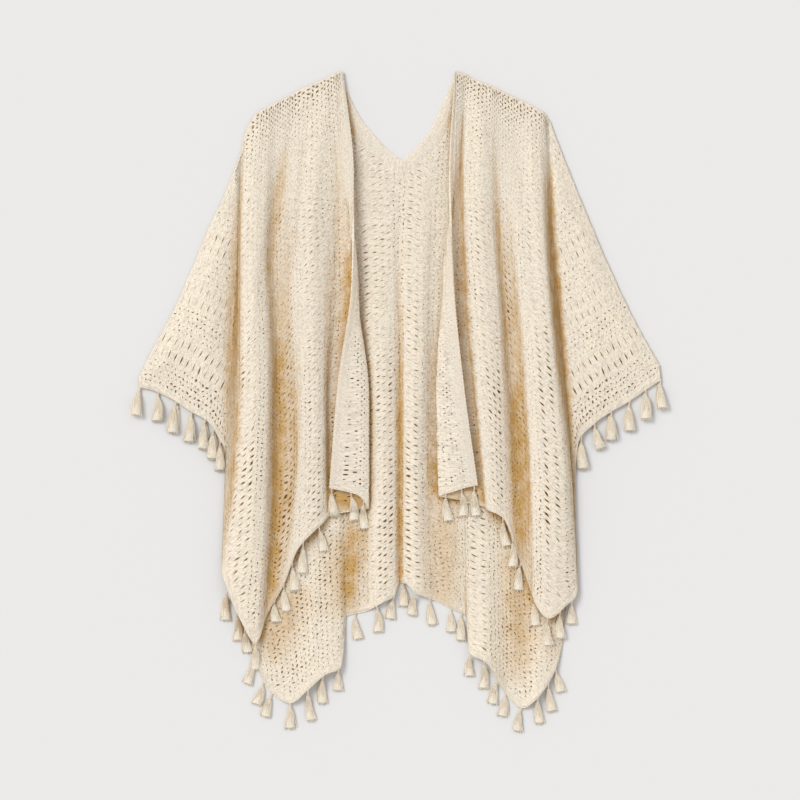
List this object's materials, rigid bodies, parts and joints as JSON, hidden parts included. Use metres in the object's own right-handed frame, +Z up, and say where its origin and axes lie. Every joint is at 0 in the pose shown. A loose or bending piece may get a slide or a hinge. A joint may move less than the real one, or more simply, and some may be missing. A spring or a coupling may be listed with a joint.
{
  "type": "open-front knitted kimono wrap laid flat",
  "caption": "Open-lace knitted kimono wrap with wide batwing sleeves, an open front, a V back neck and tasselled edges, laid flat with its fronts gathered into soft pleats.",
  "frame": {"origin": "on the surface the wrap lies on, under the middle of its laid outline, tassels included", "axes": "+Z up from the surface, +Y from the hems toward the shoulders, +X toward the sleeve at the right of the picture"},
  "size_m": [0.7451, 0.9239, 0.03],
  "materials": {
    "lace_knit": "matte cream cotton-like yarn, open lace bands",
    "edge_knit": "matte, dense smooth knit",
    "tassel_yarn": "matte loose yarn ends"
  },
  "bodies": {
    "root": {"back_panel": "lace_knit", "front_left": "lace_knit", "front_right": "lace_knit", "neck_band_back": "edge_knit", "edge_band_left": "edge_knit", "edge_band_right": "edge_knit", "fringe_back_sleeve_left": "tassel_yarn", "fringe_back_left": "tassel_yarn", "fringe_back_centre": "tassel_yarn", "fringe_back_right": "tassel_yarn", "fringe_back_sleeve_right": "tassel_yarn", "fringe_sleeve_left": "tassel_yarn", "fringe_front_left": "tassel_yarn", "fringe_flap_left": "tassel_yarn", "fringe_flap_right": "tassel_yarn", "fringe_front_right": "tassel_yarn", "fringe_sleeve_right": "tassel_yarn"}
  },
  "joints": []
}
